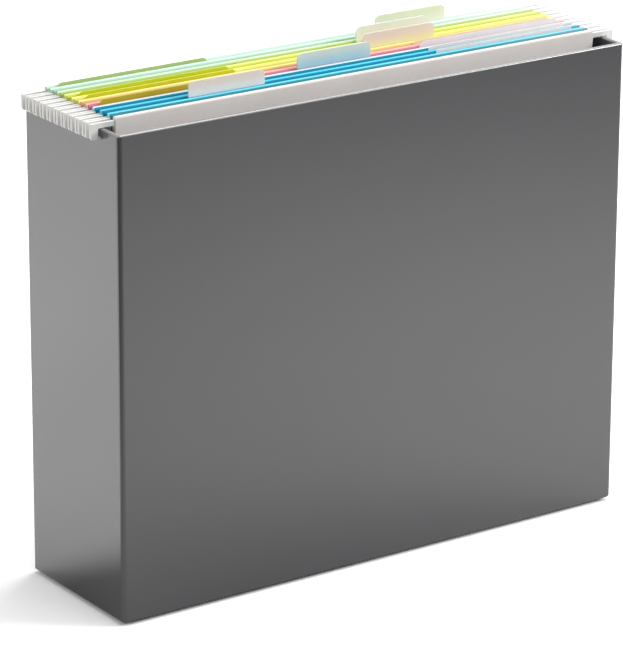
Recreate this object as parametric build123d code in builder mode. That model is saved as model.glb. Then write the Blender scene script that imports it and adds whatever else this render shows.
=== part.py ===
from build123d import *
import os

# Desktop file box: an open-top moulded box whose two end walls carry hanging folders.
# Millimetres. X runs along the box, Y from the front panel to the back, Z up.
# Origin: middle of the footprint, on the surface that the box stands on.

# ---- box ----
box_length = 311.0              # outside, over the end walls: letter-size hook spacing
box_depth = 88.0                # outside, front panel to back panel
shell_height = 254.0            # underside to rim
wall = 2.8
floor_thickness = 3.0
corner_radius = 2.5             # outer upright corners
inner_corner_radius = 1.2
base_bevel = 1.0                # underside edge
floor_bevel = 1.0               # inside, where walls meet the floor
rim_outer_round = 1.0
rim_inner_bevel = 0.7

# ---- feet ----
foot_height = 1.8               # below the shell
foot_recess = 0.8               # seat moulded into the underside
foot_radius = 6.0
foot_inset = 16.0               # foot centre to the outer faces
foot_fit = 0.05                 # gap around a foot in its seat

# ---- hanging rods ----
rod_thickness = 1.6
rod_height = 9.2
rod_rise = 2.9                  # top of the rod above the rail
hook_seat_gap = 0.05            # running gap between hook and rail
hook_finger = 4.4               # width of the finger outside the wall
hook_drop = 5.5                 # finger tip below the rail
hook_side_gap = 1.0             # finger to the outer face of the wall
notch_room = 4.9                # notch beyond the inner face of the wall
notch_slant = 0.6
notch_bevel = 0.6               # corners of the notch's roof
finger_round = 2.0              # outer corner of the finger's tip
finger_bevel = 0.8              # inner corner of the finger's tip
hook_top_round = 1.2

# ---- hanging folder jackets ----
folder_count = 10
sheet = 0.35
sleeve_fit = 0.05               # rod to sleeve, each face
sleeve_slack = 1.4              # loose paper above the rod
hem_depth = 5.0                 # sleeve below the rod, down to the hem's edge
hem_slant = 1.8                 # from the rod down to where the glued hem starts
jacket_end_gap = 5.8            # jacket edge to the inner face of the end wall
jacket_floor_gap = 17.0         # jacket fold to the floor of the box
fold_room = 0.15                # file to each flap, at the fold
neighbour_gap = 0.15            # between two hanging folders
row_back_gap = 2.9              # last hanging folder to the back panel

# ---- slits and plastic tabs ----
slit_pitch = 25.0
slit_count = 10
slit_length = 10.6
slit_height = 0.9
slit_below_hem = 1.4
tab_columns = {2: -3, 4: 0, 6: 2, 8: 2, 10: 3}      # folder number: slit pitches from the middle
tab_nudges = {2: -1.5, 4: -2.5, 6: -2.5, 8: 2.5, 10: -1.0}      # play taken up in the slits
tab_width = 45.0
tab_body = 8.0                  # height of the pocket
tab_lift = -0.1                 # bottom of the pocket above the folder's crest
tab_thickness = 0.9
tab_root = 2.5                  # back skin below the pocket, behind the sleeve
tab_skin = 0.35
tab_corner = 3.0
leg_width = 5.0
leg_thickness = 0.4
leg_gap = 0.05                  # leg to the sleeve behind it
tongue_height = 0.5

# ---- interior files ----
leaf = 0.3
leaf_gap = 0.1
file_front_gap = 0.2            # file to the tab legs
file_back_gap = 0.35            # file to the rear sleeve
file_side_gap = 1.5             # file edge to jacket edge
file_fold_gap = 1.0             # file fold to jacket fold
leaf_drop = 9.0                 # both leaves below the crest, beside the cut tab
tab_rise = 1.2                  # cut tab above the crest
left, middle, right = -1, 0, 1                      # places of a cut tab
tab_places = [middle, right, right, left, right, left, left, middle, middle, left]
tab_trims = {1: 2.2, 4: -0.8, 8: 1.0, 9: 1.0}       # file number: its cut tab ends lower by this
cut_tab_height = 12.0           # whole tab, down to where its slanted ends meet the leaf
cut_tab_slant = 4.0
cut_tab_overlap = 2.0           # gap between neighbouring tab places
leaf_corner = 3.0
cut_tab_round = 2.0

# ---- worked out from the above ----
rail_top = foot_height + shell_height
floor_top = foot_height + floor_thickness
inner_length = box_length - 2 * wall
inner_depth = box_depth - 2 * wall
rod_top = rail_top + hook_seat_gap + rod_rise
rod_bottom = rod_top - rod_height
crest = rod_top + sleeve_slack + sheet
sleeve_width = rod_thickness + 2 * (sleeve_fit + sheet)
hem_bottom = rod_bottom - hem_depth
jacket_width = inner_length - 2 * jacket_end_gap
jacket_bottom = floor_top + jacket_floor_gap
file_thickness = 2 * leaf + leaf_gap
channel = leg_gap + leg_thickness + file_front_gap + file_thickness + file_back_gap
folder_thickness = 2 * sleeve_width + channel
folder_pitch = folder_thickness + neighbour_gap
file_back = folder_thickness / 2 - sleeve_width - file_back_gap     # behind the middle plane
fold_width = 2 * (file_back + fold_room + sheet)
last_folder_y = box_depth / 2 - wall - row_back_gap - folder_thickness / 2
slit_z = hem_bottom - slit_below_hem
file_width = jacket_width - 2 * file_side_gap
file_bottom = jacket_bottom + sheet + file_fold_gap
third = file_width / 3


def folder_y(number):
    """Middle plane of a hanging folder, counted from the front panel."""
    return last_folder_y - (folder_count - number) * folder_pitch


def end_plane(y):
    """Section plane of a folder: local x is Y, measured from y, and local y is Z."""
    return Plane(origin=(0, y, 0), x_dir=(0, 1, 0), z_dir=(1, 0, 0))


def front_plane(y):
    """Upright plane at y, facing the front: local x is X and local y is Z."""
    return Plane(origin=(0, y, 0), x_dir=(1, 0, 0), z_dir=(0, -1, 0))


def make_shell():
    """Open box with rounded rim, and seats for four feet in its underside."""
    with BuildPart() as shell:
        with BuildSketch(Plane.XY.offset(foot_height)):
            RectangleRounded(box_length, box_depth, corner_radius)
        extrude(amount=shell_height)
        chamfer(shell.faces().sort_by(Axis.Z)[0].edges(), length=base_bevel)
        with BuildSketch(Plane.XY.offset(floor_top)):
            RectangleRounded(inner_length, inner_depth, inner_corner_radius)
        extrude(amount=shell_height, mode=Mode.SUBTRACT)
        inner_floor = shell.faces().filter_by_position(Axis.Z, floor_top - 0.01, floor_top + 0.01)
        chamfer(inner_floor.edges(), length=floor_bevel)
        rim = shell.faces().sort_by(Axis.Z)[-1]
        rim_inside = rim.inner_wires()[0].edges()
        fillet(rim.outer_wire().edges(), radius=rim_outer_round)
        chamfer(rim_inside, length=rim_inner_bevel)
        with BuildSketch(Plane.XY.offset(foot_height)):
            with Locations(*foot_places()):
                Circle(foot_radius + foot_fit)
        extrude(amount=foot_recess, mode=Mode.SUBTRACT)
    shell.part.label = "box_shell"
    return shell.part


def foot_places():
    """Centres of the feet: front left, front right, back left, back right."""
    x = box_length / 2 - foot_inset
    y = box_depth / 2 - foot_inset
    return [(-x, -y), (x, -y), (-x, y), (x, y)]


def make_foot(name, place):
    """Stick-on rubber disc."""
    with BuildPart() as foot:
        with BuildSketch():
            with Locations(place):
                Circle(foot_radius)
        extrude(amount=foot_height + foot_recess)
    foot.part.label = name
    return foot.part


def make_rod(name, y):
    """Flat hanging rod with a hook notched into each end."""
    finger_inside = box_length / 2 + hook_side_gap
    tip = finger_inside + hook_finger
    finger_bottom = rail_top - hook_drop
    roof = rail_top + hook_seat_gap
    notch_inside = box_length / 2 - wall - notch_room
    with BuildPart() as rod:
        with BuildSketch(front_plane(y)) as outline:
            with BuildLine():
                Polyline(
                    (0, rod_top),
                    (tip, rod_top),
                    (tip, finger_bottom),
                    (finger_inside, finger_bottom),
                    (finger_inside, roof),
                    (notch_inside, roof),
                    (notch_inside - notch_slant, rod_bottom),
                    (0, rod_bottom),
                    close=True,
                )
            make_face()
            end_corners = outline.vertices().group_by(Axis.X)[-1].sort_by(Axis.Y)
            notch_corners = outline.vertices().filter_by_position(Axis.Y, roof - 0.01, roof + 0.01)
            finger_corner = outline.vertices().group_by(Axis.X)[-2].sort_by(Axis.Y)[0]
            fillet(end_corners[0], radius=finger_round)
            fillet(end_corners[-1], radius=hook_top_round)
            chamfer(notch_corners, length=notch_bevel)
            chamfer(finger_corner, length=finger_bevel)
            mirror(about=Plane.YZ)
        extrude(amount=rod_thickness / 2, both=True)
    rod.part.label = name
    return rod.part


def make_jacket(name, y):
    """One folded sheet: two flaps that hang from the rod sleeves and meet in a fold."""
    half = folder_thickness / 2
    half_fold = fold_width / 2
    sleeve_radius = sleeve_width / 2
    shoulder = crest - sleeve_radius
    pocket_height = rod_height + 2 * sleeve_fit
    with BuildPart() as jacket:
        with BuildSketch(end_plane(y)):
            with BuildLine():
                Polyline((-half, shoulder), (-half, hem_bottom), (-half_fold, jacket_bottom), (0, jacket_bottom))
                Polyline(
                    (0, jacket_bottom + sheet),
                    (sheet - half_fold, jacket_bottom + sheet),
                    (sheet - half, hem_bottom),
                    (2 * sheet - half, hem_bottom),
                    (2 * sheet - half, rod_bottom - hem_slant),
                    (2 * sleeve_radius - half, rod_bottom - sleeve_fit),
                    (2 * sleeve_radius - half, shoulder),
                )
                Line((0, jacket_bottom), (0, jacket_bottom + sheet))
                RadiusArc((-half, shoulder), (2 * sleeve_radius - half, shoulder), sleeve_radius)
            make_face()
            with Locations((sleeve_radius - half, rod_top + sleeve_fit - pocket_height / 2)):
                Rectangle(rod_thickness + 2 * sleeve_fit, pocket_height, mode=Mode.SUBTRACT)
            mirror(about=Plane.YZ)
        extrude(amount=jacket_width / 2, both=True)
        with BuildSketch(front_plane(y)):
            with Locations((0, slit_z)):
                with GridLocations(slit_pitch, slit_height, slit_count, 1):
                    Rectangle(slit_length, slit_height)
        extrude(amount=folder_thickness, mode=Mode.SUBTRACT)
    jacket.part.label = name
    return jacket.part


def make_tab(name, y, column, nudge):
    """Clear pocket above the front sleeve, on two legs whose tongues sit in the flap's slits."""
    centre = column * slit_pitch + nudge
    leg_front = y - folder_thickness / 2 + sleeve_width + leg_gap
    leg_back = leg_front + leg_thickness
    pocket_bottom = crest + tab_lift
    root_bottom = pocket_bottom - tab_root
    slot = tab_thickness - 2 * tab_skin
    with BuildPart() as tab:
        with BuildSketch(front_plane(leg_back)) as pocket:
            with Locations((centre, pocket_bottom + tab_body / 2)):
                Rectangle(tab_width, tab_body)
            fillet(pocket.vertices().group_by(Axis.Y)[-1], radius=tab_corner)
        extrude(amount=tab_thickness)
        with BuildSketch(front_plane(leg_back - tab_skin)):
            with Locations((centre, pocket_bottom + tab_body / 2 - tab_skin)):
                Rectangle(tab_width - 2 * tab_corner, tab_body - 2 * tab_skin)
        extrude(amount=slot, mode=Mode.SUBTRACT)
        with BuildSketch(front_plane(leg_back)):
            with Locations((centre, root_bottom + (tab_root + tab_skin) / 2)):
                Rectangle(tab_width - 2 * tab_corner, tab_root + tab_skin)
            leg_bottom = slit_z - tongue_height / 2
            leg_height = root_bottom + tab_skin - leg_bottom
            with Locations((centre, leg_bottom + leg_height / 2)):
                with GridLocations(slit_pitch, leg_height, 2, 1):
                    Rectangle(leg_width, leg_height)
        extrude(amount=leg_thickness)
        with BuildSketch(front_plane(leg_back)):
            with Locations((centre, slit_z)):
                with GridLocations(slit_pitch, tongue_height, 2, 1):
                    Rectangle(leg_width, tongue_height)
        extrude(amount=leg_back - (y - folder_thickness / 2))
    tab.part.label = name
    return tab.part


def make_file(name, y, tab_place, trim):
    """Folded card: a low front leaf and a back leaf with one of three cut tabs."""
    front_face = y - folder_thickness / 2 + sleeve_width + leg_gap + leg_thickness + file_front_gap
    back_face = front_face + file_thickness
    leaf_top = crest - leaf_drop
    tab_top = crest + tab_rise - trim
    tab_centre = tab_place * third
    tab_half = (third - cut_tab_overlap) / 2
    with BuildPart() as card:
        with BuildSketch(front_plane(back_face)) as back_leaf:
            with Locations((0, (file_bottom + leaf_top) / 2)):
                Rectangle(file_width, leaf_top - file_bottom)
            fillet(back_leaf.vertices().group_by(Axis.Y)[-1], radius=leaf_corner)
            with BuildLine():
                Polyline(
                    (tab_centre - tab_half, tab_top - cut_tab_height),
                    (tab_centre - tab_half + cut_tab_slant, tab_top),
                    (tab_centre + tab_half - cut_tab_slant, tab_top),
                    (tab_centre + tab_half, tab_top - cut_tab_height),
                    close=True,
                )
            make_face()
            fillet(back_leaf.vertices().group_by(Axis.Y)[-1], radius=cut_tab_round)
        extrude(amount=leaf)
        with BuildSketch(front_plane(back_face)):
            with Locations((0, file_bottom + leaf / 2)):
                Rectangle(file_width, leaf)
        extrude(amount=file_thickness)
        with BuildSketch(front_plane(front_face + leaf)) as front_leaf:
            with Locations((0, (file_bottom + leaf_top) / 2)):
                Rectangle(file_width, leaf_top - file_bottom)
            fillet(front_leaf.vertices().group_by(Axis.Y)[-1], radius=leaf_corner)
        extrude(amount=leaf)
    card.part.label = name
    return card.part


def save(piece):
    export_step(piece, f"parts/{piece.label}.step")


os.makedirs("parts", exist_ok=True)
save(make_shell())
foot_names = ["foot_front_left", "foot_front_right", "foot_back_left", "foot_back_right"]
for name, place in zip(foot_names, foot_places()):
    save(make_foot(name, place))
rod_offset = (folder_thickness - sleeve_width) / 2
for number in range(1, folder_count + 1):
    y = folder_y(number)
    save(make_rod(f"hanging_{number:02d}_front_rod", y - rod_offset))
    save(make_rod(f"hanging_{number:02d}_rear_rod", y + rod_offset))
    save(make_jacket(f"hanging_{number:02d}_jacket", y))
    if number in tab_columns:
        save(make_tab(f"hanging_{number:02d}_tab", y, tab_columns[number], tab_nudges[number]))
    save(make_file(f"file_{number:02d}", y, tab_places[number - 1], tab_trims.get(number, 0)))
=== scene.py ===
import math

import bmesh
import bpy
from mathutils import Matrix, Quaternion, Vector


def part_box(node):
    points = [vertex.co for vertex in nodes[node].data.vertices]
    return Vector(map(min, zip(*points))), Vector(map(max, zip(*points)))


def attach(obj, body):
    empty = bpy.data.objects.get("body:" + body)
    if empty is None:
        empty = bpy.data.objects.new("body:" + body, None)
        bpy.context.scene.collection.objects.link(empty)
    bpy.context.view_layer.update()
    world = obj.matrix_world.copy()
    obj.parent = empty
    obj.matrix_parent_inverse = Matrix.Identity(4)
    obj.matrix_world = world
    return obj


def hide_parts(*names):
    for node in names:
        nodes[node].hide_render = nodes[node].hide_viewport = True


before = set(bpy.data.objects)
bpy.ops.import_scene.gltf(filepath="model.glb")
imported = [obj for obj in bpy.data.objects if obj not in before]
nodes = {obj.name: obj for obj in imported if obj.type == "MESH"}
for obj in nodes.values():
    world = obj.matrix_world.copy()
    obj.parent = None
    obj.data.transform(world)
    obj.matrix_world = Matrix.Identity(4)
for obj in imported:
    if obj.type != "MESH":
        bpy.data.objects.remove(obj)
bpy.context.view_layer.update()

scene = bpy.context.scene
print("frame loaded:", len(nodes), "nodes")


class Wire:
    # a shader socket that maths can be written on
    def __init__(self, wiring, socket):
        self.wiring = wiring
        self.socket = socket

    def math(self, operation, first, second=0.0):
        return self.wiring.node("ShaderNodeMath", {"operation": operation}, {0: first, 1: second})

    def __add__(self, other):
        return self.math("ADD", self, other)

    def __radd__(self, other):
        return self.math("ADD", other, self)

    def __sub__(self, other):
        return self.math("SUBTRACT", self, other)

    def __rsub__(self, other):
        return self.math("SUBTRACT", other, self)

    def __mul__(self, other):
        return self.math("MULTIPLY", self, other)

    def __rmul__(self, other):
        return self.math("MULTIPLY", other, self)

    def __gt__(self, other):
        return self.math("GREATER_THAN", self, other)

    def __lt__(self, other):
        return self.math("LESS_THAN", self, other)

    def __abs__(self):
        return self.math("ABSOLUTE", self)

    def band(self, low, high, bottom=0.0, top=1.0):
        # low..high stretched to bottom..top, with soft ends
        return self.wiring.node("ShaderNodeMapRange", {"interpolation_type": "SMOOTHSTEP"},
                                {0: self, 1: low, 2: high, 3: bottom, 4: top})


class Wiring:
    # the nodes of a material or of the world
    def __init__(self, owner):
        owner.use_nodes = True
        self.tree = owner.node_tree

    def join(self, value, socket):
        if isinstance(value, Wire):
            self.tree.links.new(value.socket, socket)
        else:
            socket.default_value = value

    def node(self, kind, settings=None, sockets=None, output=0):
        made = self.tree.nodes.new(kind)
        for key, value in (settings or {}).items():
            setattr(made, key, value)
        for key, value in (sockets or {}).items():
            self.join(value, made.inputs[key])
        return Wire(self, made.outputs[output])

    def rays(self):
        # 1 for a ray from the camera, off a glossy surface and through a clear one, and otherwise 0
        return [self.node("ShaderNodeLightPath", output=f"Is {kind} Ray")
                for kind in ("Camera", "Glossy", "Transmission")]


class Finish(Wiring):
    # one material: its Principled BSDF and the nodes that feed it
    def __init__(self, name, **settings):
        self.material = bpy.data.materials.new(name)
        super().__init__(self.material)
        self.surface = self.tree.nodes["Principled BSDF"]
        self.feed(**settings)

    def feed(self, **values):
        for socket, value in values.items():
            self.join(value, self.surface.inputs[socket.replace("_", " ")])

    def place(self):
        return self.node("ShaderNodeTexCoord", output="Object")

    def axes(self):
        place = self.place()
        return [self.node("ShaderNodeSeparateXYZ", sockets={0: place}, output=i) for i in range(3)]

    def noise(self, size, detail=2.0, stretch=(1.0, 1.0, 1.0)):
        # cloud pattern whose blobs are about size metres across
        place = self.node("ShaderNodeMapping", sockets={"Vector": self.place(), "Scale": stretch})
        sockets = {"Vector": place, "Scale": 1.0 / size, "Detail": detail}
        return self.node("ShaderNodeTexNoise", sockets=sockets)

    def mix(self, mask, first, second):
        return self.node("ShaderNodeMix", {"data_type": "RGBA"}, {0: mask, 6: first, 7: second}, output=2)

    def scale(self, colour, factor):
        return self.node("ShaderNodeVectorMath", {"operation": "SCALE"}, {0: colour, 3: factor})

    def grey(self, level):
        return self.node("ShaderNodeCombineColor", sockets={0: level, 1: level, 2: level})

    def distance(self, centre):
        place = self.place()
        return self.node("ShaderNodeVectorMath", {"operation": "DISTANCE"}, {0: place, 1: centre}, output=1)

    def bump(self, height, distance):
        return self.node("ShaderNodeBump", sockets={"Height": height, "Distance": distance})


def rgba(hexColour):
    # screen colour to the linear values that shaders use
    parts = [int(hexColour[i:i + 2], 16) / 255 for i in (1, 3, 5)]
    return tuple(c / 12.92 if c <= 0.04045 else ((c + 0.055) / 1.055) ** 2.4 for c in parts) + (1.0,)


def shade(colour, factor):
    return tuple(min(1.0, c * factor) for c in colour[:3]) + (1.0,)


def dress(node, material):
    for slot in nodes[node].material_slots:
        slot.material = material


def makePiece(name, form, material):
    mesh = bpy.data.meshes.new(name)
    form.to_mesh(mesh)
    form.free()
    mesh.materials.append(material)
    piece = bpy.data.objects.new(name, mesh)
    scene.collection.objects.link(piece)
    return piece


edgeLook = {
    "weld": 0.000001,           # corners closer than this are one, metres
    "flat": 1.0,                # faces closer than this to one plane become one face, degrees
    "corner": 30.0,             # edges that turn by more than this are eased, degrees
    "segments": 2,
}


def roundedCopy(node, name, body, material, easing):
    # the node's own shape with its sharp edges eased, standing in for it
    form = bmesh.new()
    form.from_mesh(nodes[node].data)
    bmesh.ops.remove_doubles(form, verts=form.verts, dist=edgeLook["weld"])
    flat, corner = math.radians(edgeLook["flat"]), math.radians(edgeLook["corner"])
    bmesh.ops.dissolve_limit(form, angle_limit=flat, verts=form.verts, edges=form.edges)
    sharp = [edge for edge in form.edges if edge.is_manifold and edge.calc_face_angle() > corner]
    bmesh.ops.bevel(form, geom=sharp, offset=easing, offset_type="OFFSET", affect="EDGES",
                    segments=edgeLook["segments"], profile=0.5, material=-1, clamp_overlap=True)
    bmesh.ops.recalc_face_normals(form, faces=form.faces)
    piece = makePiece(name, form, material)
    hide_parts(node)
    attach(piece, body)


cloudBand = (0.3, 0.7)          # most values of a cloud pattern lie in here


shellLook = {
    "colour": "#4c4c4e",
    "roughness": 0.18,
    "shine": 1.0,               # specular level: a polished mould leaves a hard, glossy skin
    "cloud": 0.09,              # size of the faint cloudiness, metres
    "cloudTones": (0.985, 1.015),       # darkest and lightest, as shares of the colour
    "cloudRoughness": 0.03,     # how far it moves the roughness
    "grain": 0.0006,
    "grainDepth": 0.00001,
    "lip": (0.001, 0.0003),     # the rim's polish sets in between these depths below its top
    "lipShine": 2.15,           # index of refraction of that polish
}


def makeShellPlastic():
    colour = rgba(shellLook["colour"])
    dark, light = [shade(colour, tone) for tone in shellLook["cloudTones"]]
    finish = Finish("moulded grey plastic", IOR=1.5, Specular_IOR_Level=shellLook["shine"],
                    Coat_IOR=shellLook["lipShine"], Coat_Roughness=shellLook["roughness"])
    cloud = finish.noise(shellLook["cloud"], detail=3.0)
    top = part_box("box_shell")[1][2]
    lipFrom, lipTo = shellLook["lip"]
    finish.feed(
        Base_Color=finish.mix(cloud.band(*cloudBand), dark, light),
        Coat_Weight=finish.axes()[2].band(top - lipFrom, top - lipTo),
        Roughness=shellLook["roughness"] + shellLook["cloudRoughness"] * (cloud - 0.5),
        Normal=finish.bump(finish.noise(shellLook["grain"]), shellLook["grainDepth"]),
    )
    return finish.material


footLook = {
    "colour": "#1c1c1c",
    "roughness": 0.75,
    "cloud": 0.002,
    "cloudTones": (0.8, 1.2),
    "cloudRoughness": 0.2,
    "grain": 0.0004,
    "grainDepth": 0.00004,
}


def makeRubber():
    colour = rgba(footLook["colour"])
    dark, light = [shade(colour, tone) for tone in footLook["cloudTones"]]
    finish = Finish("foot rubber", IOR=1.45)
    cloud = finish.noise(footLook["cloud"], detail=3.0)
    finish.feed(
        Base_Color=finish.mix(cloud, dark, light),
        Roughness=footLook["roughness"] + footLook["cloudRoughness"] * (cloud - 0.5),
        Normal=finish.bump(finish.noise(footLook["grain"]), footLook["grainDepth"]),
    )
    return finish.material


rodLook = {
    "colour": "#f0efec",
    "roughness": 0.34,
    "easing": 0.0003,           # rounding of the stamped edges, metres
    "cloud": 0.004,
    "cloudTone": 0.95,          # share of its brightness that thin enamel keeps
    "cloudRoughness": 0.2,
    "grain": 0.0006,
    "grainDepth": 0.00002,
}


def makeRodEnamel():
    colour = rgba(rodLook["colour"])
    finish = Finish("white coated steel", IOR=1.5)
    cloud = finish.noise(rodLook["cloud"], detail=3.0)
    finish.feed(
        Base_Color=finish.mix(cloud.band(*cloudBand), shade(colour, rodLook["cloudTone"]), colour),
        Roughness=rodLook["roughness"] + rodLook["cloudRoughness"] * (cloud - 0.5),
        Normal=finish.bump(finish.noise(rodLook["grain"]), rodLook["grainDepth"]),
    )
    return finish.material


paperLook = {
    "roughness": 0.62,
    "shine": 0.15,
    "fibre": 0.0007,            # width of the paper's fibres, metres
    "fibreStretch": (0.35, 1.0, 1.0),   # along the folds they are about three times as long
    "fibreDepth": 0.00003,
    "fibreBand": (0.4, 0.75),   # the values of the pattern that turn from plain paper to fibre
    "fibreShade": 0.025,        # how much darker a fibre is
    "fibreRoughness": 0.12,
    "mottle": 0.02,             # size of the faint cloudiness
    "mottleShade": 0.04,
}


def startPaper(name):
    return Finish(name, IOR=1.45, Specular_IOR_Level=paperLook["shine"])


def pressPaper(finish, colour):
    # fibres and faint cloudiness over a colour that may itself vary
    mottle = finish.noise(paperLook["mottle"], detail=4.0)
    fibre = finish.noise(paperLook["fibre"], detail=3.0, stretch=paperLook["fibreStretch"])
    mottleShade = paperLook["mottleShade"] * mottle.band(*cloudBand)
    fibreShade = paperLook["fibreShade"] * fibre.band(*paperLook["fibreBand"])
    finish.feed(
        Base_Color=finish.scale(colour, 1.0 - mottleShade - fibreShade),
        Roughness=paperLook["roughness"] + paperLook["fibreRoughness"] * (fibre - 0.5),
        Normal=finish.bump(fibre, paperLook["fibreDepth"]),
    )
    return finish.material


folderLook = {
    # outside, and the lining colour darkened into painted shade, for the inside of the flaps and for the hem
    # strips over the crests that face into the folder
    1: ("#f8f2ee", "#2d8a9b"),
    2: ("#70e0f6", "#0286a8"),
    3: ("#60d4f4", "#1284a0"),
    4: ("#dfeef0", "#cc7c90"),
    5: ("#febcb2", "#e2b67c"),
    6: ("#fff394", "#e0de78"),
    7: ("#f5f87c", "#ced65a"),
    8: ("#ebf792", "#b3cb80"),
    9: ("#d8f8de", "#b5d7c0"),
    10: ("#dcf6ea", "#ceead8"),
}
jacketLook = {
    "shadeStripHalf": 0.0022,        # the hem strips, in the lining colour darkened into painted shade, reach this far from the middle plane, over the crests
    "plainFront": 0.0009,       # folder 1 shows no strip of painted shade on its front crest
    "hemHeight": 0.24455,       # lower edge of the glued hem
    "hemHalf": 0.00308,         # from the middle plane to inside the flap, at the hem
    "foldHeight": 0.0218,       # just above the fold at the foot
    "foldHalf": 0.00083,        # from the middle plane to inside the flap, there
    "glare": (0.05, 0.15),       # from here to here, towards the right end, the top edge gets a painted highlight that makes it paler
    "crest": (0.013, 0.007),    # but only this close to it
    # colour of that painted highlight, and how strongly each folder takes it
    "pale": "#f5f3f0",
    "glareFolders": (3, 4, 5, 9, 10),
    "glareShare": 0.5,
    "otherGlareShare": 0.12,
}


def makeJacketPaper(number, middle, top):
    outside, shadedLining = [rgba(colour) for colour in folderLook[number]]
    finish = startPaper(f"folder paper {number}")
    along, depth, height = finish.axes()
    across = depth - middle
    hemHeight, foldHeight = jacketLook["hemHeight"], jacketLook["foldHeight"]
    lean = (jacketLook["hemHalf"] - jacketLook["foldHalf"]) / (hemHeight - foldHeight)
    insideFlaps = abs(across) < jacketLook["foldHalf"] + lean * (height - foldHeight)
    shadeStripFront = jacketLook["plainFront"] if number == 1 else jacketLook["shadeStripHalf"]
    onShadeStrips = (across > -shadeStripFront) * (across < jacketLook["shadeStripHalf"])
    aboveHem = height > hemHeight
    # the lining colour is the lining's own hue darkened into painted shade: inside the flaps, and on the hem
    # strips over the crests
    liningAndShade = aboveHem * onShadeStrips + (1.0 - aboveHem) * insideFlaps
    crestFrom, crestTo = jacketLook["crest"]
    crest = height.band(top - crestFrom, top - crestTo)
    glareShare = jacketLook["glareShare" if number in jacketLook["glareFolders"] else "otherGlareShare"]
    # painted highlight: the top edges turn pale towards the right end
    glare = crest * along.band(*jacketLook["glare"], 0.0, glareShare)
    return pressPaper(finish, finish.mix(glare, finish.mix(liningAndShade, outside, shadedLining), rgba(jacketLook["pale"])))


fileLook = {1: "#35b4cc", 2: "#fffaf6", 3: "#fffaf6", 4: "#c8bc38", 5: "#f7e0cd",
            6: "#dedb38", 7: "#d6de2e", 8: "#e6f29a", 9: "#dff5d8", 10: "#bcd18a"}


def makeCard(name, hexColour):
    return pressPaper(startPaper(f"file card {name}"), rgba(hexColour)[:3])


tabLook = {
    "paintedTints": {                  # painted colour of the papers that show through each tab and are mirrored in it: at its foot, and at its top
        2: ("#f6fbff", "#fff3e6"),
        4: ("#bfe6f5", "#f3f8ee"),
        6: ("#fbfdcf", "#fff0e4"),
        8: ("#ffffff", "#ffffff"),
        10: ("#fffdf2", "#fbfde8"),
    },
    "rise": (0.0085, 0.0005),   # one tint turns to the other between these depths below the tab's top
    "roughness": 0.3,
    "cover": 0.8,               # share of light that the frosting stops
    "easing": 0.00012,
    "cloud": 0.006,
    "cloudTone": 0.95,          # share of its brightness that thick frosting keeps
    "cloudShare": 0.4,          # how far the tint goes there at most
    "cloudRoughness": 0.1,
    "cloudCover": 0.06,         # how far the cloudiness moves the cover
    "grain": 0.0005,
    "grainDepth": 0.00001,
}


def makeTabPlastic(number, top):
    foot, edge = [rgba(colour) for colour in tabLook["paintedTints"][number]]
    finish = Finish(f"frosted clear plastic {number}", IOR=1.49)
    cloud = finish.noise(tabLook["cloud"])
    riseFrom, riseTo = tabLook["rise"]
    rise = finish.axes()[2].band(top - riseFrom, top - riseTo)
    # painted colour of the papers seen through the tab and mirrored in it
    paintedTint = finish.mix(rise, foot, edge)
    paintedDullTint = finish.mix(rise, shade(foot, tabLook["cloudTone"]), shade(edge, tabLook["cloudTone"]))
    finish.feed(
        Base_Color=finish.mix(tabLook["cloudShare"] * cloud, paintedTint, paintedDullTint),
        Roughness=tabLook["roughness"] + tabLook["cloudRoughness"] * (cloud - 0.5),
        Alpha=tabLook["cover"] + tabLook["cloudCover"] * (cloud - 0.5),
        Normal=finish.bump(finish.noise(tabLook["grain"]), tabLook["grainDepth"]),
    )
    return finish.material


shellPlastic = makeShellPlastic()
footRubber = makeRubber()
dress("box_shell", shellPlastic)
for corner in ("front_left", "front_right", "back_left", "back_right"):
    dress("foot_" + corner, footRubber)
print("box finished")


rodEnamel = makeRodEnamel()
for number in folderLook:
    label = f"{number:02d}"
    body = "folder_" + label
    jacket = f"hanging_{label}_jacket"
    low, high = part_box(jacket)
    dress(jacket, makeJacketPaper(number, (low[1] + high[1]) / 2, high[2]))
    dress("file_" + label, makeCard(label, fileLook[number]))
    for side in ("front", "rear"):
        rod = f"hanging_{label}_{side}_rod"
        roundedCopy(rod, f"enamelled_rod_{label}_{side}", body, rodEnamel, rodLook["easing"])
    if number in tabLook["paintedTints"]:
        tab = f"hanging_{label}_tab"
        plastic = makeTabPlastic(number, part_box(tab)[1][2])
        roundedCopy(tab, f"frosted_tab_{label}", body, plastic, tabLook["easing"])


secondCardLook = {
    # a loose pale card behind the gold file of the fourth folder, its cut tab at the right
    "colour": "#f6f8f8",
    "thickness": 0.0002,
    "behind": 0.00007,          # gap to the gold file
    "foot": 0.06,               # height of its lower edge, where the folder is still wide enough
    "drop": 0.0102,             # from the cut tab's top to the rest of the card's top edge
    "overlap": 0.002,           # the cut tab is this much narrower than a third of the card
    "slant": 0.004,
    "rise": 0.0003,             # the tab's top edge over the gold file's
    "corner": 0.002,            # rounding of the tab's upper corners
    "cornerSegments": 4,
}


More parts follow.
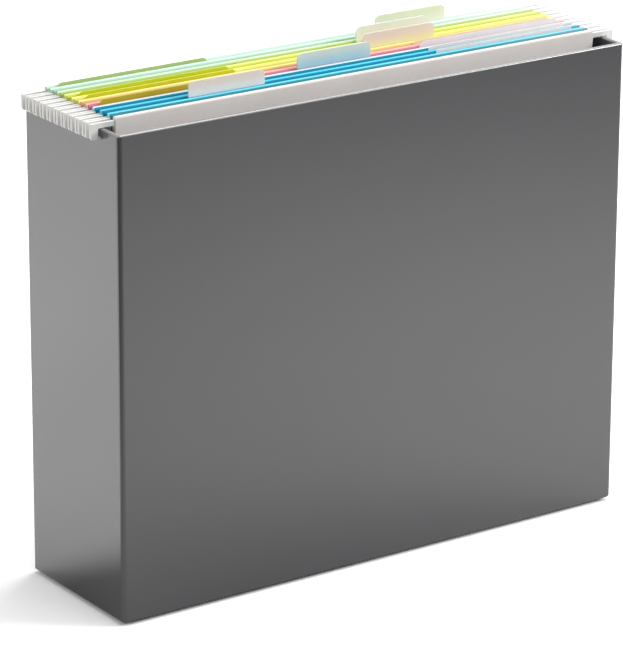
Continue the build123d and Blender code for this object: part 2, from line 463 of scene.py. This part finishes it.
def makeSecondCard():
    look = secondCardLook
    low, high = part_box("file_04")
    left, right = low[0], high[0]
    top = high[2] + look["rise"]
    shoulder = top - look["drop"]
    tabWidth = (right - left) / 3 - look["overlap"]
    tabRight = right - look["overlap"] / 2
    tabLeft = tabRight - tabWidth
    near = high[1] + look["behind"]
    outline = [(left, look["foot"]), (right, look["foot"]), (right, shoulder), (tabRight, shoulder),
               (tabRight - look["slant"], top), (tabLeft + look["slant"], top),
               (tabLeft, shoulder), (left, shoulder)]
    form = bmesh.new()
    form.faces.new([form.verts.new((x, near, z)) for x, z in outline])
    tops = [vert for vert in form.verts if vert.co.z > top - look["corner"]]
    bmesh.ops.bevel(form, geom=tops, offset=look["corner"], offset_type="OFFSET", affect="VERTICES",
                    segments=look["cornerSegments"], profile=0.5, material=-1)
    grown = bmesh.ops.extrude_face_region(form, geom=form.faces[:])
    far = [item for item in grown["geom"] if isinstance(item, bmesh.types.BMVert)]
    bmesh.ops.translate(form, verts=far, vec=(0.0, look["thickness"], 0.0))
    bmesh.ops.recalc_face_normals(form, faces=form.faces)
    card = makePiece("pale_card_04", form, makeCard("04 behind", look["colour"]))
    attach(card, "file_04")


makeSecondCard()
print("folders and files finished")


floorLook = {
    "size": 6.0,
    "colour": "#e8e8e8",        # for the light that it throws back on the object
    "white": (1.6, 9.0),        # as the camera sees it, near and far: it reads as pure white
    "whiteReach": (1.0, 3.0),   # from near to far
    "pool": (0.27, -0.15, 0.0),         # centre of a painted pool of light that only glossy rays see: there the glossy walls find it brightest
    "poolReach": 1.08,
    "poolBright": 1.2,
    "paintedShadow": (-0.045, 0.038, 0.0),     # painted shadow around the box, which only glossy rays see: there it is dimmer
    "paintedShadowReach": (0.05, 0.28),
    "paintedShadowShare": 0.57,
    "back": (-0.005, 0.065),    # behind the box it is painted evenly bright again, for glossy rays
    "backBright": 2.15,
}


def makeFloor():
    look = floorLook
    finish = Finish("white floor")
    camera, glossy, through = finish.rays()
    fromPool = finish.distance(look["pool"])
    pool = fromPool.band(0.0, look["poolReach"], look["poolBright"], 0.0)
    paintedShadow = finish.distance(look["paintedShadow"]).band(*look["paintedShadowReach"], look["paintedShadowShare"], 1.0)
    back = finish.axes()[1].band(*look["back"], 0.0, look["backBright"])
    # what glossy rays see: a painted pool of light, a painted shadow around the box and a painted bright
    # strip behind it
    paintedReflection = finish.node("ShaderNodeMath", {"operation": "MAXIMUM"}, {0: pool * paintedShadow, 1: back})
    white = fromPool.band(*look["whiteReach"], *look["white"])
    colour = finish.mix(camera + through, rgba(look["colour"]), finish.grey(white))
    colour = finish.mix(glossy, colour, finish.grey(paintedReflection))
    matte = finish.node("ShaderNodeBsdfDiffuse", sockets={"Color": colour})
    finish.tree.nodes.remove(finish.surface)
    finish.join(matte, finish.tree.nodes["Material Output"].inputs["Surface"])
    form = bmesh.new()
    bmesh.ops.create_grid(form, x_segments=1, y_segments=1, size=look["size"] / 2)
    makePiece("floor", form, finish.material)


makeFloor()
print("floor made")


cameraLook = {
    "azimuth": -34.74,          # degrees, from straight in front towards the left
    "elevation": 19.03,
    "roll": 0.25,
    "distance": 2.091,
    "target": (-0.0116, 0.0, 0.1207),
    "lens": 233.2,
    "frameWidth": 36.0,         # millimetres, as the lens
}


def makeCamera():
    azimuth = math.radians(cameraLook["azimuth"])
    elevation = math.radians(cameraLook["elevation"])
    away = Vector((math.sin(azimuth) * math.cos(elevation),
                   -math.cos(azimuth) * math.cos(elevation), math.sin(elevation)))
    data = bpy.data.cameras.new("camera")
    data.sensor_fit = "HORIZONTAL"
    data.sensor_width = cameraLook["frameWidth"]
    data.lens = cameraLook["lens"]
    camera = bpy.data.objects.new("camera", data)
    turn = (-away).to_track_quat("-Z", "Y") @ Quaternion((0, 0, 1), math.radians(cameraLook["roll"]))
    place = Vector(cameraLook["target"]) + cameraLook["distance"] * away
    camera.matrix_world = Matrix.Translation(place) @ turn.to_matrix().to_4x4()
    scene.collection.objects.link(camera)
    scene.camera = camera


lampLook = {
    # name: place, aim, width, height, watts
    "overhead": ((0.15, -0.25, 1.6), (0.0, 0.0, 0.1), 1.2, 1.2, 11.5),
    "rimLight": ((0.68, 0.4, 1.35), (0.0, 0.0, 0.2), 0.5, 0.9, 4.5),
    "rightSide": ((1.7, -1.2, 1.2), (0.0, 0.0, 0.1), 0.9, 0.9, 31.5),
    "leftSide": ((-2.0, 0.3, 0.9), (0.0, 0.0, 0.1), 1.2, 1.4, 9.0),
}


def makeLamps():
    for name, (place, aim, width, height, watts) in lampLook.items():
        data = bpy.data.lights.new(name, "AREA")
        data.shape = "RECTANGLE"
        data.size = width
        data.size_y = height
        data.energy = watts
        lamp = bpy.data.objects.new(name, data)
        turn = (Vector(aim) - Vector(place)).to_track_quat("-Z", "Y")
        lamp.matrix_world = Matrix.Translation(place) @ turn.to_matrix().to_4x4()
        scene.collection.objects.link(lamp)


worldLook = {
    "colour": "#ffffff",
    "light": 0.3,               # strength of the light that it throws on the object
    "seen": 1.0,                # strength as it is seen directly, mirrored or through the tabs
}


def makeWorld():
    world = bpy.data.worlds.new("studio")
    wiring = Wiring(world)
    camera, glossy, through = wiring.rays()
    strength = (camera + glossy + through).band(0.0, 1.0, worldLook["light"], worldLook["seen"])
    background = wiring.tree.nodes["Background"]
    wiring.join(rgba(worldLook["colour"]), background.inputs["Color"])
    wiring.join(strength, background.inputs["Strength"])
    scene.world = world


makeCamera()
makeLamps()
makeWorld()
scene.view_settings.view_transform = "Standard"
print("camera and light made")
